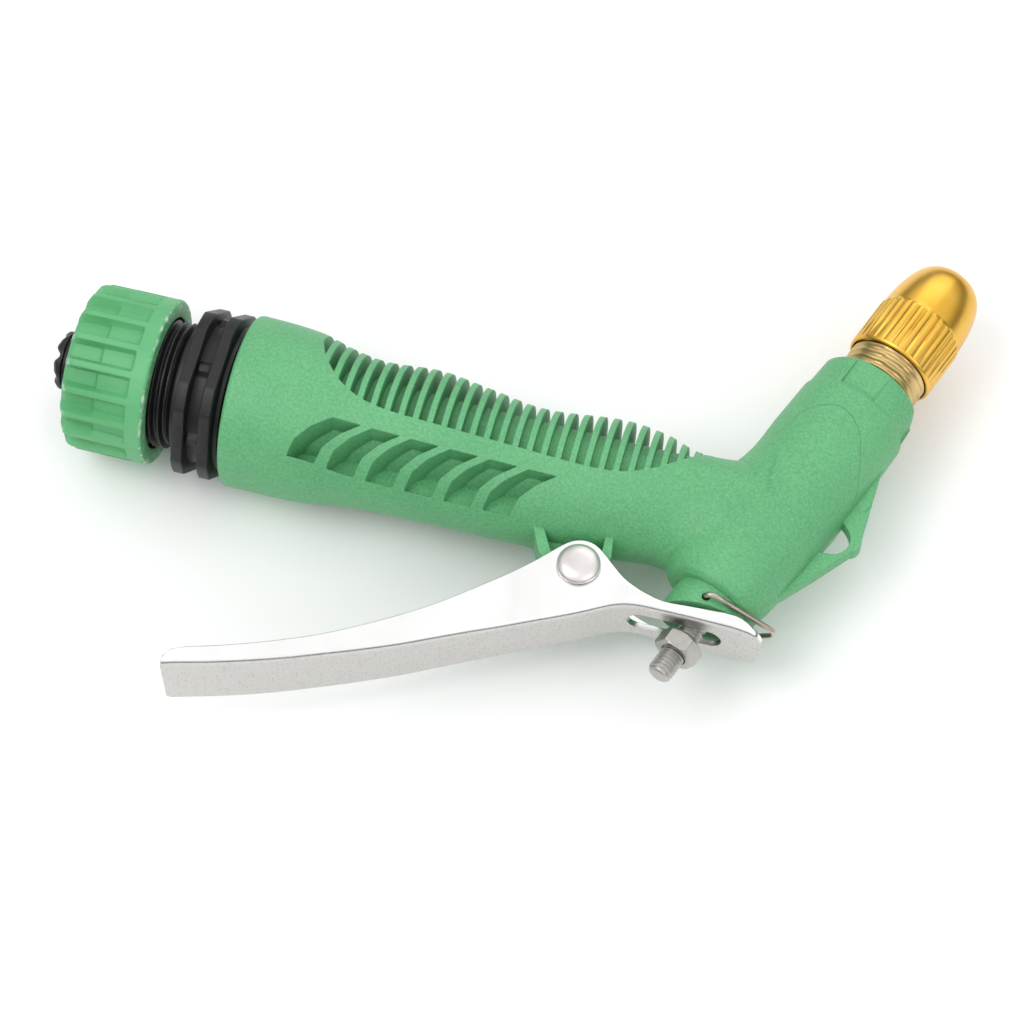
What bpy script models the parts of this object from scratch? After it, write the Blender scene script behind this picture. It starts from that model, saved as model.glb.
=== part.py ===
"""Garden hose spray nozzle with a rear trigger lever, lying on its side.

The mould's parting plane is horizontal. The grip runs along +X from the hose end to the
head, and the barrel leans away from it in the parting plane. Lengths are in millimetres,
turned into metres by the MM factor.
"""

import math

import bmesh
import bpy
from mathutils import Matrix, Vector

MM = 0.001
GAP = 0.3

# Driving dimensions, in the plan: x along the grip from the coupling nut's rim, y towards
# the finger ribs. PLAN_CENTRE and REST_HEIGHT put the whole object on the origin.
BARREL_FOOT = (125.0, 0.0)
BARREL_ANGLE = 69.4
PIVOT = (90.9, -22.4)
CLIP_HOLE = (116.3, -23.3)
PLAN_CENTRE = (65.8, 0.43)
REST_HEIGHT = 17.46

PIPE_THREAD_RADIUS = 26.44 / 2
PIPE_THREAD_PITCH = 1.814
CAP_THREAD_PITCH = 1.6
ROD_THREAD_PITCH = 0.8
BELL_RIM_X = 15.8
RIB_COUNT = 28
RIB_PITCH = 2.885
RIB_THICKNESS = 1.2
FIRST_RIB_X = 30.0
POCKET_COUNT = 6
POCKET_PITCH = 7.92
NUT_RIBS = 19
CAP_FLUTES = 22
ROD_RADIUS = 2.5
HEX_CORNER_RADIUS = 4.62
RIVET_RADIUS = 2.0
LEVER_SHEET = 1.2
WIRE_RADIUS = 0.55

GREEN = (0.07, 0.36, 0.13)
BLACK = (0.012, 0.012, 0.013)
GOLD = (0.80, 0.47, 0.07)
STEEL = (0.62, 0.62, 0.63)
RUBBER = (0.02, 0.02, 0.02)


def clear_scene():
    for obj in list(bpy.data.objects):
        bpy.data.objects.remove(obj, do_unlink=True)


def material(name, colour, roughness, metallic=0.0):
    made = bpy.data.materials.new(name)
    made.use_nodes = True
    shader = made.node_tree.nodes["Principled BSDF"]
    shader.inputs["Base Color"].default_value = (*colour, 1.0)
    shader.inputs["Roughness"].default_value = roughness
    shader.inputs["Metallic"].default_value = metallic
    return made


def empty(name, parent=None, location=(0, 0, 0), turn=None):
    """A guide that holds a joint's axis or a group's axis along its own Z."""
    guide = bpy.data.objects.new(name, None)
    bpy.context.scene.collection.objects.link(guide)
    guide.parent = parent
    place = Matrix.Translation(Vector(location) * MM)
    guide.matrix_local = place @ turn if turn else place
    return guide


def finish(name, bm, parent, finish_material=None):
    """Turns a bmesh in millimetres into an object in metres; one with no material is a cutter."""
    bmesh.ops.remove_doubles(bm, verts=bm.verts, dist=1e-4)
    bmesh.ops.recalc_face_normals(bm, faces=bm.faces)
    bmesh.ops.scale(bm, vec=(MM, MM, MM), verts=bm.verts)
    mesh = bpy.data.meshes.new(name)
    bm.to_mesh(mesh)
    bm.free()
    obj = bpy.data.objects.new(name, mesh)
    bpy.context.scene.collection.objects.link(obj)
    obj.parent = parent
    if finish_material:
        mesh.materials.append(finish_material)
        mesh.shade_smooth()
        mesh.set_sharp_from_angle(angle=math.radians(35))
    else:
        obj.hide_render = True
        obj.display_type = "WIRE"
    return obj


def combine(target, other, operation):
    change = target.modifiers.new(f"{operation.lower()} {other.name}", "BOOLEAN")
    change.operation = operation
    change.object = other
    change.solver = "EXACT"
    return target


def stack(rings):
    """A skin through rings of equally many points, with flat ends."""
    bm = bmesh.new()
    rows = [[bm.verts.new(point) for point in ring] for ring in rings]
    count = len(rings[0])
    for lower, upper in zip(rows, rows[1:]):
        for i in range(count):
            j = (i + 1) % count
            bm.faces.new((lower[i], lower[j], upper[j], upper[i]))
    bm.faces.new(rows[0][::-1])
    bm.faces.new(rows[-1])
    return bm


def circle(radius, height, steps, offset=0.0):
    """Points round a circle in a plane across Z."""
    angles = [2 * math.pi * k / steps for k in range(steps)]
    return [(offset + radius * math.cos(a), radius * math.sin(a), height) for a in angles]


def turned(profile, steps):
    """A closed profile of (radius, height) points turned about Z, with poles on the axis."""
    bm = bmesh.new()
    rows = []
    for radius, height in profile:
        if radius < 1e-6:
            rows.append([bm.verts.new((0, 0, height))] * steps)
            continue
        rows.append([bm.verts.new(point) for point in circle(radius, height, steps)])
    for first, second in zip(rows, rows[1:] + rows[:1]):
        for i in range(steps):
            j = (i + 1) % steps
            corners = list(dict.fromkeys((first[i], first[j], second[j], second[i])))
            if len(corners) > 2:
                bm.faces.new(corners)
    return bm


def prism(outline, low, high):
    """An outline in the plan, extruded along Z."""
    return stack([[(x, y, low) for x, y in outline], [(x, y, high) for x, y in outline]])


def arc(centre, radius, start, end, steps):
    """Points on an arc, angles in degrees."""
    angles = [math.radians(start + (end - start) * k / steps) for k in range(steps + 1)]
    return [(centre[0] + radius * math.cos(a), centre[1] + radius * math.sin(a)) for a in angles]


def smooth_between(stations, x):
    """A smooth curve through (x, value) stations, its slopes taken from the neighbours."""
    xs = [station[0] for station in stations]
    ys = [station[1] for station in stations]
    if x <= xs[0]:
        return ys[0]
    if x >= xs[-1]:
        return ys[-1]
    i = max(k for k in range(len(xs) - 1) if xs[k] <= x)

    def slope(k):
        low, high = max(k - 1, 0), min(k + 1, len(xs) - 1)
        return (ys[high] - ys[low]) / (xs[high] - xs[low])

    width = xs[i + 1] - xs[i]
    t = (x - xs[i]) / width
    start = (2 * t**3 - 3 * t**2 + 1) * ys[i] + (t**3 - 2 * t**2 + t) * width * slope(i)
    return start + (3 * t**2 - 2 * t**3) * ys[i + 1] + (t**3 - t**2) * width * slope(i + 1)


# ---------------------------------------------------------------- body

# The grip's section at each x: half depth to the side, height to the finger side, height
# to the lever side. The scoop's edge is where the finger ribs start.
GRIP_SIDE = [
    (15.8, 17.5), (24, 17.1), (32, 16.3), (45, 15.0), (60, 14.0), (76, 13.2), (92, 12.6),
    (125, 11.8),
]
GRIP_TOP = [
    (15.8, 17.5), (24, 17.2), (30, 16.5), (36, 14.6), (43, 13.5), (54, 14.6),
    (64, 13.1), (76, 11.2), (92, 13.1), (101, 11.9), (108, 9.2), (125, 9.0),
]
GRIP_UNDER = [
    (15.8, 17.5), (32, 17.7), (42, 16.4), (60, 16.2), (82, 16.3), (96, 15.0), (107, 13.6),
    (125, 11.8),
]
SCOOP_EDGE = [
    (28.0, 22.0), (29.6, 15.0), (31.0, 9.0), (34.0, 3.6), (38.5, -0.4), (45.0, -2.5),
    (57.0, -3.0), (72.0, -3.4), (87.0, -3.8), (94.0, -3.3), (99.0, -1.6), (104.0, 1.4),
    (109.4, 6.5), (112.5, 12.5), (113.0, 22.0),
]
# The core that shows between the ribs and in the pockets: x, half depth, height to the
# finger side, height to the lever side.
CORE = [(28, 12.6, 10.3, 12.4), (40, 11.6, 9.6, 11.6), (76, 11.2, 8.4, 11.2), (116, 10.4, 8.2, 10.6)]
POCKET_FLOOR = 4.5
# Barrel and stepped collar about the barrel's own axis: height, middle's offset, radius.
BARREL_SECTIONS = [
    (-22.3, -0.8, 8.4), (-21.6, -0.9, 9.3), (-20.2, -0.9, 10.0), (-18.0, -0.8, 10.5),
    (-8.0, -0.4, 11.3), (4.0, -0.2, 11.8), (18.0, -0.1, 11.9), (28.2, 0.0, 11.6),
    (28.6, 0.0, 11.3), (35.2, 0.0, 10.9), (36.0, 0.0, 10.2),
]
GRIP_AROUND = 20


def grip_ring(x, end_shrink=0.0):
    """One section of the grip: half an ellipse on the finger side, another on the lever side."""
    side = smooth_between(GRIP_SIDE, x) - end_shrink
    top = smooth_between(GRIP_TOP, x) - end_shrink
    under = smooth_between(GRIP_UNDER, x) - end_shrink
    ring = []
    for k in range(GRIP_AROUND):
        angle = 2 * math.pi * k / GRIP_AROUND
        height = top if math.sin(angle) >= 0 else under
        ring.append((x, height * math.sin(angle), side * math.cos(angle)))
    return ring


def grip_blank():
    """The grip's outer skin: a short rounded bell rim, then one ring every few millimetres."""
    stations = [18, 22, 26, 30, 33, 36, 39, 42, 46, 51, 56, 61, 66, 71, 76, 82, 88, 94, 99]
    stations += [104, 109, 118, 127]
    rings = [grip_ring(BELL_RIM_X, 0.9), grip_ring(BELL_RIM_X + 0.9)]
    return stack(rings + [grip_ring(x) for x in stations])


def barrel_blank():
    return stack([circle(radius, height, 32, offset) for height, offset, radius in BARREL_SECTIONS])


def clip_boss():
    """The boss below the barrel that holds the wire clip."""
    return turned([(0, -29.5), (7.2, -29.5), (7.7, -28.8), (7.7, -20.0), (0, -20.0)], 28)


def hanging_tab(barrel):
    """A thin mid-plane web on the barrel's outer side, with a D-shaped hole."""
    outline = [(9.0, 22.5), (11.6, 21.0), (16.2, 6.8)]
    outline += arc((14.6, 4.2), 2.6, 12, -52, 4)
    outline += [(13.2, -6.3), (9.2, -16.5), (4.0, -14.0), (4.0, 20.0)]
    tab = finish("tab_blank", barrel_plate(outline, -1.5, 1.5), barrel)
    hole = [(10.6, -1.6)] + arc((11.6, 2.8), 3.6, -62, 62, 8) + [(10.6, 7.4)]
    return combine(tab, finish("tab_hole", barrel_plate(hole, -3, 3), barrel), "DIFFERENCE")


def barrel_plate(outline, low, high):
    """A plate in the parting plane whose outline is (across, along) in barrel coordinates."""
    return stack([[(across, side, along) for across, along in outline] for side in (low, high)])


def side_pocket(index, sign):
    """A slanted pocket with bowed walls, down to a flat floor beside the core."""
    shift = index * POCKET_PITCH
    drop = -0.04 * index
    width, bow = 5.9, 0.9
    slant = [(37.5, -6.75), (34.4, -9.4), (31.6, -12.1), (29.6, -14.95)]
    rear = [(x - bow * math.sin(math.pi * k / 3), y) for k, (x, y) in enumerate(slant)]
    front = [(x + width, y) for x, y in rear[::-1]]
    outline = [(x + shift, y + drop) for x, y in rear + front]
    low, high = sorted((sign * POCKET_FLOOR, sign * 20.0))
    return prism(outline, low, high)


def rib_slot(index):
    """The space between two finger ribs, above the scoop's edge."""
    left = FIRST_RIB_X + index * RIB_PITCH + RIB_THICKNESS / 2
    right = left + RIB_PITCH - RIB_THICKNESS
    floor_left = smooth_between(SCOOP_EDGE, left)
    floor_right = smooth_between(SCOOP_EDGE, right)
    outline = [(left, floor_left), (right, floor_right), (right, 24.0), (left, 24.0)]
    return prism(outline, -20.0, 20.0)


def joined_cutters(name, shapes, parent):
    """Several separate cutters as one object."""
    bm = bmesh.new()
    for shape in shapes:
        bmesh.ops.recalc_face_normals(shape, faces=shape.faces)
        mesh = bpy.data.meshes.new("piece")
        shape.to_mesh(mesh)
        bm.from_mesh(mesh)
        shape.free()
        bpy.data.meshes.remove(mesh)
    return finish(name, bm, parent)


def core():
    """The plain core round the water way, inside the ribs and behind the pockets."""
    rings = []
    for x, side, over, under in CORE:
        ring = circle(1.0, 0.0, 20)
        rings.append([(x, y * (over if y > 0 else under), z * side) for z, y, _ in ring])
    return stack(rings)


def pivot_lug():
    """The hinge boss under the grip, hung on two leaning end plates and a narrow mid web."""
    boss = arc(PIVOT, 4.9, 190, 350, 12)
    return prism([(78.4, -12.0), (82.6, -20.6)] + boss + [(96.3, -18.0), (95.6, -12.0)], -4.6, 4.6)


def pivot_side_hollow(sign):
    """Takes the middle out of the lug's side, so that its end plates and the boss stand proud."""
    low, high = sorted((sign * 1.2, sign * 8.0))
    outline = [(81.0, -13.0), (84.6, -19.6)] + arc(PIVOT, 4.0, 145, 35, 6)[1:-1]
    outline += [(94.4, -18.2), (94.2, -13.0)]
    return prism(outline, low, high)


def collar_flats():
    """Four recessed flats round the collar."""
    near, far, half, low, high = 9.8, 13.0, 3.9, 28.9, 38.0
    shapes = []
    for quarter in range(4):
        turn = Matrix.Rotation(math.radians(90 * quarter), 4, "Z")
        corners = [(near, -half), (far, -half), (far, half), (near, half)]
        bm = prism(corners, low, high)
        bmesh.ops.transform(bm, matrix=turn, verts=bm.verts)
        shapes.append(bm)
    return shapes


def body(assembly, barrel, paint):
    """The two welded halves as one: grip, ribs, pockets, tube, barrel, boss, tab and lug."""
    made = finish("body", grip_blank(), assembly, paint)
    ribs = joined_cutters("rib_slots", [rib_slot(i) for i in range(RIB_COUNT)], assembly)
    inner = finish("core", core(), assembly)
    pockets = [side_pocket(i, sign) for i in range(POCKET_COUNT) for sign in (-1, 1)]
    combine(made, ribs, "DIFFERENCE")
    combine(made, joined_cutters("side_pockets", pockets, assembly), "DIFFERENCE")
    combine(made, inner, "UNION")
    barrel_solid = finish("barrel_blank", barrel_blank(), barrel)
    flats = joined_cutters("collar_flats", collar_flats(), barrel)
    combine(barrel_solid, flats, "DIFFERENCE")
    combine(made, barrel_solid, "UNION")
    boss = finish("clip_boss", clip_boss(), barrel)
    below = prism([(95, -40), (140, -40), (140, -24.9), (95, -24.9)], -15, 15)
    combine(boss, finish("boss_cut", below, assembly), "DIFFERENCE")
    combine(made, boss, "UNION")
    combine(made, hanging_tab(barrel), "UNION")
    lug = finish("pivot_lug", pivot_lug(), assembly)
    hollows = joined_cutters("lug_hollows", [pivot_side_hollow(s) for s in (-1, 1)], assembly)
    combine(lug, hollows, "DIFFERENCE")
    combine(made, lug, "UNION")
    for cutter in body_bores(assembly, barrel):
        combine(made, cutter, "DIFFERENCE")
    return made


def body_bores(assembly, barrel):
    """Inlet socket, water way, valve chamber, gland, rod hole, pivot hole and clip holes."""
    socket = [(0, 10), (12.0, 10), (12.0, 25.0), (5.5, 28.5), (5.5, 123.0), (0, 123.0)]
    inlet = turned(socket, 28)
    bmesh.ops.transform(inlet, matrix=Matrix.Rotation(math.radians(90), 4, "Y"), verts=inlet.verts)
    rod_hole = ROD_RADIUS + GAP
    steps = [(0, -34), (rod_hole, -34), (rod_hole, -16.0), (5.0, -16.0), (5.0, -8.0), (6.0, -8.0)]
    steps += [(6.0, 22.0), (8.3, 22.0), (8.3, 40.0), (0, 40.0)]
    chamber = turned(steps, 28)
    pivot = arc(PIVOT, RIVET_RADIUS + 1.0, 0, 360, 20)[:-1]
    clip = arc(CLIP_HOLE, WIRE_RADIUS + GAP, 0, 360, 12)[:-1]
    return [
        finish("inlet_bore", inlet, assembly),
        finish("chamber_bore", chamber, barrel),
        finish("pivot_bore", prism(pivot, -9, 9), assembly),
        joined_cutters("clip_bores", [prism(clip, -12, -4.6), prism(clip, 4.6, 12)], assembly),
    ]


# ---------------------------------------------------------------- inlet side


def hex_flange(low, high):
    """A hexagon with its corners turned down to a circle."""
    across_flats, across_corners, turn = 32.8, 35.2, 25
    points = []
    for degrees in range(0, 360, 10):
        from_flat = (degrees + turn) % 60 - 30
        radius = min(across_flats / math.cos(math.radians(from_flat)), across_corners) / 2
        angle = math.radians(degrees)
        points.append((radius * math.cos(angle), radius * math.sin(angle)))
    return prism(points, low, high)


def inlet_adapter(inlet, plastic):
    """The black threaded inlet: thread crests, two hexagonal flanges and a plain shank."""
    crest, root = PIPE_THREAD_RADIUS - 0.3, PIPE_THREAD_RADIUS - 1.45
    profile = [(6.0, -9.0), (root, -9.0), (crest, -8.0), (crest, -3.6)]
    for k in range(4):
        base = -2.8 + k * PIPE_THREAD_PITCH
        profile += [(root, base), (crest, base + 0.65), (crest, base + 1.0), (root, base + 1.55)]
    profile += [(13.0, 4.6), (13.0, 6.4), (14.4, 6.4), (14.4, 15.0), (11.7, 15.0)]
    profile += [(11.7, 18.6), (10.2, 18.6), (10.2, 21.0), (11.7, 21.0), (11.7, 24.0), (6.0, 24.0)]
    made = finish("inlet_adapter", turned(profile, 30), inlet, plastic)
    for number, (low, high) in enumerate([(6.1, 8.6), (11.5, 13.9)]):
        combine(made, finish(f"flange_{number}", hex_flange(low, high), inlet), "UNION")
    ribs = []
    for k in range(6):
        bm = prism([(13.8, -0.6), (15.6, -0.6), (15.6, 0.6), (13.8, 0.6)], 8.0, 12.0)
        turn = Matrix.Rotation(math.radians(60 * k + 11), 4, "Z")
        bmesh.ops.transform(bm, matrix=turn, verts=bm.verts)
        ribs.append(bm)
    combine(made, joined_cutters("flange_ribs", ribs, inlet), "UNION")
    bore = finish("adapter_bore", turned([(0, -12), (6.0, -12), (6.0, 40), (0, 40)], 30), inlet)
    return combine(made, bore, "DIFFERENCE")


def nut_ring(height, crest, root):
    """One section of the ribbed nut: each rib has a crest, two flanks and a groove."""
    radii = [crest, (crest + 3 * root) / 4, root, (crest + 3 * root) / 4] * NUT_RIBS
    angles = [2 * math.pi * k / len(radii) for k in range(len(radii))]
    return [(r * math.cos(a), r * math.sin(a), height) for r, a in zip(radii, angles)]


def coupling_nut(inlet, plastic):
    """The ribbed screw nut: its cone closes the collet on the hose; the grooves step halfway."""
    sections = [
        (-17.6, 14.4, 14.4), (-16.2, 16.7, 15.4), (-10.4, 16.9, 15.4), (-10.2, 16.9, 16.1),
        (-3.6, 17.0, 16.2), (-3.4, 17.0, 16.9), (-0.4, 17.0, 17.0), (0.0, 16.6, 16.6),
    ]
    blank = stack([nut_ring(*section) for section in sections])
    made = finish("coupling_nut", blank, inlet, plastic)
    profile = [(0, -20), (10.6, -20), (10.6, -15.6), (13.5, -13.8), (13.5, 2.0), (0, 2.0)]
    bore = turned(profile, 32)
    return combine(made, finish("nut_bore", bore, inlet), "DIFFERENCE")


def hose_tail(inlet, plastic):
    """The barbed spigot that the hose is pushed on, with the flange that seals on the adapter."""
    profile = [(3.6, -22.4), (5.3, -22.4), (6.0, -21.6), (6.0, -20.6), (5.5, -20.4), (6.0, -18.6)]
    profile += [(5.5, -18.4), (6.0, -16.6), (5.6, -16.4), (5.6, -13.2), (11.2, -13.2)]
    profile += [(11.2, -11.4), (3.6, -11.4)]
    return finish("hose_tail", turned(profile, 28), inlet, plastic)


def hose_collet(inlet, plastic):
    """The split ring that the nut's cone closes on the hose."""
    profile = [(8.2, -17.2), (9.8, -17.2), (10.2, -16.2), (10.2, -13.6), (8.2, -13.6)]
    made = finish("hose_collet", turned(profile, 32), inlet, plastic)
    split = prism([(4, -0.7), (14, -0.7), (14, 0.7), (4, 0.7)], -20, -10)
    return combine(made, finish("collet_split", split, inlet), "DIFFERENCE")


def ring(name, parent, paint, inner, outer, low, high):
    """A washer, bush or sleeve."""
    profile = [(inner, low), (outer, low), (outer, high), (inner, high)]
    return finish(name, turned(profile, 24), parent, paint)


def o_ring(name, parent, paint, middle, radius, height):
    """A round-section sealing ring."""
    profile = [(middle + a, height + b) for a, b in arc((0, 0), radius, 0, 360, 6)[:-1]]
    return finish(name, turned(profile, 24), parent, paint)


# ---------------------------------------------------------------- barrel side


def nozzle_nipple(barrel, metal):
    """The threaded tube in the barrel's mouth; its inner cone is the valve's seat."""
    profile = [(5.5, 22.4), (7.9, 22.4), (7.9, 24.4), (6.7, 24.4), (6.7, 26.4), (7.9, 26.4)]
    profile += [(7.9, 36.4)]
    for k in range(4):
        base = 36.6 + k * CAP_THREAD_PITCH
        profile += [(8.0, base), (8.45, base + 0.45), (8.45, base + 0.85), (8.0, base + 1.3)]
    profile += [(7.6, 52.0), (3.0, 52.0), (3.0, 36.0), (5.5, 32.0)]
    return finish("nozzle_nipple", turned(profile, 26), barrel, metal)


def spray_cap(barrel, metal):
    """The screw cap: a fluted skirt and an ogive nose with the spray hole."""
    sections = [
        (42.3, 9.0, 0.0), (42.7, 9.35, 0.25), (53.8, 9.35, 0.25), (54.3, 9.1, 0.0),
        (57.4, 8.85, 0.0), (60.4, 8.2, 0.0), (63.0, 7.3, 0.0), (65.2, 6.1, 0.0),
        (66.6, 4.9, 0.0), (67.3, 3.6, 0.0),
    ]
    rings = []
    for height, radius, depth in sections:
        radii = [radius - depth, radius + depth / 2, radius + depth / 2] * CAP_FLUTES
        angles = [2 * math.pi * k / len(radii) for k in range(len(radii))]
        rings.append([(r * math.cos(a), r * math.sin(a), height) for r, a in zip(radii, angles)])
    made = finish("spray_cap", stack(rings), barrel, metal)
    profile = [(0, 40), (8.75, 40), (8.75, 54.0), (7.0, 55.5), (1.3, 64.5), (1.3, 70), (0, 70)]
    hollow = turned(profile, 28)
    return combine(made, finish("cap_hollow", hollow, barrel), "DIFFERENCE")


def valve_rod(barrel, metal):
    """The rod that the lever pulls: threaded below, its shoulder carries cone and seat."""
    profile = [(0, -41.0), (2.0, -41.0)]
    for k in range(6):
        base = -40.6 + k * ROD_THREAD_PITCH
        profile += [(ROD_RADIUS, base), (ROD_RADIUS, base + 0.4), (ROD_RADIUS - 0.35, base + 0.6)]
    profile += [(ROD_RADIUS, -35.6), (ROD_RADIUS, 26.0), (1.6, 26.0), (1.6, 34.0), (0, 34.0)]
    return finish("valve_rod", turned(profile, 20), barrel, metal)


def valve_cone(barrel, rubber):
    """The soft cone that closes on the nipple's seat."""
    profile = [(1.9, 26.3), (4.6, 26.3), (4.9, 27.4), (4.9, 31.2), (2.9, 34.0), (1.9, 34.4)]
    return finish("valve_cone", turned(profile, 28), barrel, rubber)


def return_spring(barrel, metal):
    """A compression spring round the rod, from the gland's shoulder to the spring seat."""
    turns, low, high, middle, wire = 7, -7.1, 13.0, 4.1, 0.45
    count = turns * 9
    points = []
    for k in range(count + 1):
        a = 2 * math.pi * turns * k / count
        height = low + (high - low) * k / count
        points.append(Vector((middle * math.cos(a), middle * math.sin(a), height)))
    return finish("return_spring", tube_along(points, wire, 4), barrel, metal)


def tube_along(points, radius, sides):
    """A round wire along a list of points, its section carried without twisting."""
    rings = []
    normal = None
    for k, point in enumerate(points):
        ahead = points[min(k + 1, len(points) - 1)]
        behind = points[max(k - 1, 0)]
        tangent = (ahead - behind).normalized()
        if normal is None:
            normal = tangent.orthogonal()
        normal = (normal - tangent * normal.dot(tangent)).normalized()
        other = tangent.cross(normal)
        angles = [2 * math.pi * i / sides for i in range(sides)]
        spokes = [math.cos(a) * normal + math.sin(a) * other for a in angles]
        rings.append([tuple(point + radius * spoke) for spoke in spokes])
    return stack(rings)


def adjusting_nut(barrel, metal):
    """The hexagon nut that the lever pushes, on the rod below the lever."""
    hexagon = arc((0, 0), HEX_CORNER_RADIUS, 30, 390, 6)[:-1]
    rings = []
    for height, size in ((-35.6, 0.93), (-35.2, 1.0), (-32.4, 1.0), (-32.0, 0.93)):
        rings.append([(x * size, y * size, height) for x, y in hexagon])
    made = finish("adjusting_nut", stack(rings), barrel, metal)
    fit = ROD_RADIUS + 0.05
    bore = turned([(0, -38), (fit, -38), (fit, -30), (0, -30)], 24)
    return combine(made, finish("hex_nut_bore", bore, barrel), "DIFFERENCE")


# ---------------------------------------------------------------- lever, pivot and clip

# The lever's section at each x: the web's outer face, the cheeks' upper edge, half width.
LEVER_STATIONS = [
    (19.2, -63.4, -61.6, 8.0), (20.2, -63.2, -60.2, 8.4), (22.6, -62.5, -58.9, 8.4),
    (28.0, -61.0, -57.2, 8.3), (35.0, -58.8, -54.7, 8.2), (42.0, -56.3, -51.8, 8.0),
    (48.0, -53.9, -49.0, 7.9), (55.0, -51.0, -45.0, 7.7), (62.0, -47.9, -40.6, 7.5),
    (68.0, -44.9, -36.2, 7.3), (74.0, -41.9, -31.2, 7.1), (79.0, -39.5, -26.8, 6.9),
    (83.0, -37.5, -22.9, 6.8), (86.6, -35.7, -19.0, 6.7), (88.6, -34.7, -17.3, 6.6),
    (91.0, -33.5, -16.7, 6.6), (93.2, -32.4, -17.2, 6.6), (95.4, -31.2, -18.8, 6.6),
    (97.4, -30.1, -20.6, 6.7), (99.6, -29.0, -22.4, 6.7), (101.8, -28.3, -23.7, 6.8),
    (104.4, -28.0, -24.8, 6.9), (108.4, -28.0, -25.8, 7.0), (114.0, -28.1, -25.7, 7.2),
    (120.0, -28.3, -25.5, 7.4), (123.0, -28.4, -25.7, 7.4), (125.2, -28.5, -26.3, 7.0),
    (126.8, -28.5, -27.0, 6.2), (127.8, -28.5, -27.2, 5.2), (128.5, -28.5, -27.3, 3.8),
]


def lever_section(x, web, top, half):
    """A channel: two cheeks, rounded outer corners and the web between them."""
    sheet = LEVER_SHEET
    bend = min(1.5, max(top - web - 0.2, 0.2))
    inner = half - sheet
    floor = web + sheet
    rim = max(top, floor + 0.05)
    corner = (web + 0.3 * bend, half - 0.3 * bend)
    outer = [(rim, half), (web + bend, half), corner, (web, half - bend)]
    hollow = [(rim, inner), (floor + 0.04, inner - 0.02)]
    line = outer + [(y, -z) for y, z in outer[::-1]]
    line += [(y, -z) for y, z in hollow] + hollow[::-1]
    return [(x, y, z) for y, z in line]


def lever(assembly, steel):
    """A stamped channel lever: long hand arm, cheeks round the pivot, slotted front arm."""
    blank = stack([lever_section(*station) for station in LEVER_STATIONS])
    made = finish("lever", blank, assembly, steel)
    eyes = arc(PIVOT, RIVET_RADIUS + GAP, 0, 360, 20)[:-1]
    combine(made, finish("lever_eyes", prism(eyes, -12, 12), assembly), "DIFFERENCE")
    slot = arc((117.9, 0), 2.9, -90, 90, 8) + arc((105.0, 0), 2.9, 90, 270, 8)
    shape = stack([[(x, y, z) for x, z in slot] for y in (-31.0, -26.0)])
    return combine(made, finish("lever_slot", shape, assembly), "DIFFERENCE")


def pivot_rivet(pivot, steel):
    """The lever's axle: a domed head, a plain shank and a smaller closed end."""
    profile = [(0, -8.7), (2.3, -8.5), (3.2, -7.8), (RIVET_RADIUS, -7.8), (RIVET_RADIUS, 6.9)]
    profile += [(4.3, 6.9), (4.35, 7.3), (3.6, 8.1), (2.4, 8.6), (0, 8.8)]
    return finish("pivot_rivet", turned(profile, 28), pivot, steel)


def wire_clip(clip, steel):
    """The bent wire bail: two ends in the boss's holes, two legs that meet in a rounded tip."""
    tip, shoulder, reach = 14.0, 8.9, 5.2
    half = [(0, 0, reach), (0, 0, shoulder - 1.0), (0.35, 0, shoulder - 0.2)]
    half += [(1.3, -0.05, shoulder), (2.6, -0.2, shoulder - 0.3), (4.2, -0.3, shoulder - 1.4)]
    half += [(tip - 2.2, -0.6, 2.3), (tip - 0.9, -0.65, 1.4), (tip - 0.2, -0.7, 0.6)]
    points = [Vector(p) for p in half] + [Vector((x, y, -z)) for x, y, z in half[::-1]]
    return finish("wire_clip", tube_along(points, WIRE_RADIUS, 8), clip, steel)


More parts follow.
